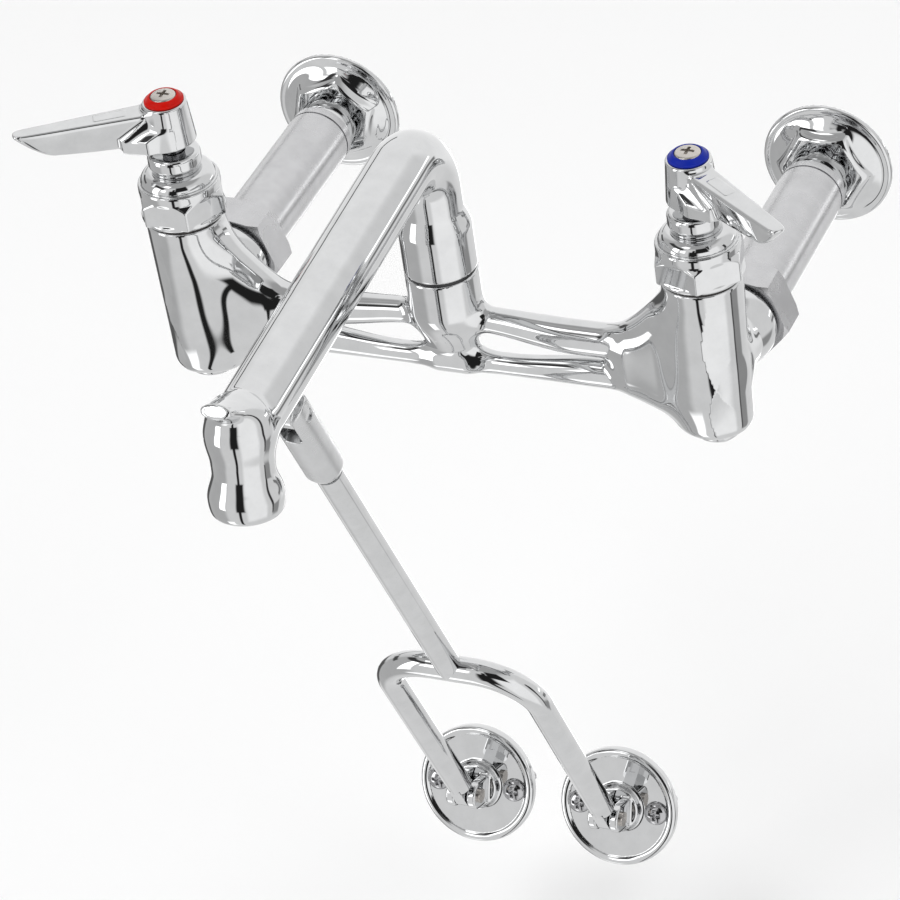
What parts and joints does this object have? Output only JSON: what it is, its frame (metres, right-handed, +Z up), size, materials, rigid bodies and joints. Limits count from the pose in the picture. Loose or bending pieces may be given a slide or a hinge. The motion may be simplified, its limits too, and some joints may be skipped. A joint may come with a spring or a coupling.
{
  "type": "wall mounted service sink faucet",
  "caption": "Wall mounted double lever faucet with extended supplies, swivel spout with pail hook and a folding wall brace.",
  "frame": {"origin": "on the wall plane, midway between the two supply inlets", "axes": "+X from the hot valve to the cold valve, -Y out of the wall towards the user, +Z up"},
  "size_m": [0.299, 0.3153, 0.3607],
  "materials": {
    "polished_chrome": "mirror polished chrome plate over cast and turned brass",
    "satin_chrome": "rough chrome plate, fine matt grain",
    "brass_core": "machined brass",
    "bright_steel": "bright stainless steel",
    "black_rubber": "moulded rubber",
    "black_plastic": "matt moulded nylon",
    "dark_fibre": "pressed fibre sheet",
    "red_plastic": "gloss moulded plastic",
    "blue_plastic": "gloss moulded plastic"
  },
  "bodies": {
    "root": {"body_casting": "polished_chrome", "swivel_stem": "brass_core", "spout_o_rings": "black_rubber", "snap_ring": "bright_steel", "spout_washer": "black_plastic", "hot_bonnet": "polished_chrome", "hot_bonnet_gasket": "dark_fibre", "hot_packing_nut": "polished_chrome", "hot_packing": "dark_fibre", "hot_valve_seat": "brass_core", "hot_wall_flange": "polished_chrome", "hot_supply_tube": "satin_chrome", "hot_coupling_washer": "dark_fibre", "hot_coupling_nut": "satin_chrome", "cold_bonnet": "polished_chrome", "cold_bonnet_gasket": "dark_fibre", "cold_packing_nut": "polished_chrome", "cold_packing": "dark_fibre", "cold_valve_seat": "brass_core", "cold_wall_flange": "polished_chrome", "cold_supply_tube": "satin_chrome", "cold_coupling_washer": "dark_fibre", "cold_coupling_nut": "satin_chrome"},
    "hot_handle": {"hot_spindle": "brass_core", "hot_lever": "polished_chrome", "hot_index_ring": "red_plastic", "hot_lever_screw": "bright_steel"},
    "hot_stem": {"hot_plunger": "brass_core", "hot_seat_washer": "black_rubber", "hot_washer_screw": "bright_steel"},
    "cold_handle": {"cold_spindle": "brass_core", "cold_lever": "polished_chrome", "cold_index_ring": "blue_plastic", "cold_lever_screw": "bright_steel"},
    "cold_stem": {"cold_plunger": "brass_core", "cold_seat_washer": "black_rubber", "cold_washer_screw": "bright_steel"},
    "spout_arm": {"spout": "polished_chrome"},
    "brace": {"brace_clevis": "polished_chrome", "brace_pin": "polished_chrome", "brace_rod": "polished_chrome", "brace_fork": "polished_chrome"},
    "left_foot": {"left_bracket": "polished_chrome", "left_bracket_pin": "bright_steel", "left_bracket_screws": "bright_steel"},
    "right_foot": {"right_bracket": "polished_chrome", "right_bracket_pin": "bright_steel", "right_bracket_screws": "bright_steel"}
  },
  "joints": [
    {"name": "hot_turn", "type": "hinge", "parent": "root", "child": "hot_handle", "pos_m": [-0.1016, -0.134, 0.055], "axis": [0, 0, 1], "range_deg": [0, 90]},
    {"name": "cold_turn", "type": "hinge", "parent": "root", "child": "cold_handle", "pos_m": [0.1016, -0.134, 0.055], "axis": [0, 0, 1], "range_deg": [-90, 0]},
    {"name": "hot_lift", "type": "slide", "parent": "root", "child": "hot_stem", "axis": [0, 0, 1], "range_m": [0, 0.0016]},
    {"name": "cold_lift", "type": "slide", "parent": "root", "child": "cold_stem", "axis": [0, 0, 1], "range_m": [0, 0.0016]},
    {"name": "spout_swivel", "type": "hinge", "parent": "root", "child": "spout_arm", "pos_m": [0, -0.134, 0.04], "axis": [0, 0, 1], "range_deg": [-45, 45]},
    {"name": "brace_swing", "type": "hinge", "parent": "spout_arm", "child": "brace", "pos_m": [0, -0.2624, 0.0536], "axis": [1, 0, 0], "range_deg": [-25, 26]},
    {"name": "left_foot_tilt", "type": "hinge", "parent": "brace", "child": "left_foot", "pos_m": [-0.0304, -0.12339, -0.23785], "axis": [1, 0, 0], "range_deg": [-30, 30]},
    {"name": "right_foot_tilt", "type": "hinge", "parent": "brace", "child": "right_foot", "pos_m": [0.0304, -0.12339, -0.23785], "axis": [1, 0, 0], "range_deg": [-30, 30]}
  ],
  "couplings": [
    {"joint": "hot_lift", "follows": "hot_turn", "m_per_rad": 0.00095493},
    {"joint": "cold_lift", "follows": "cold_turn", "m_per_rad": -0.00095493}
  ]
}
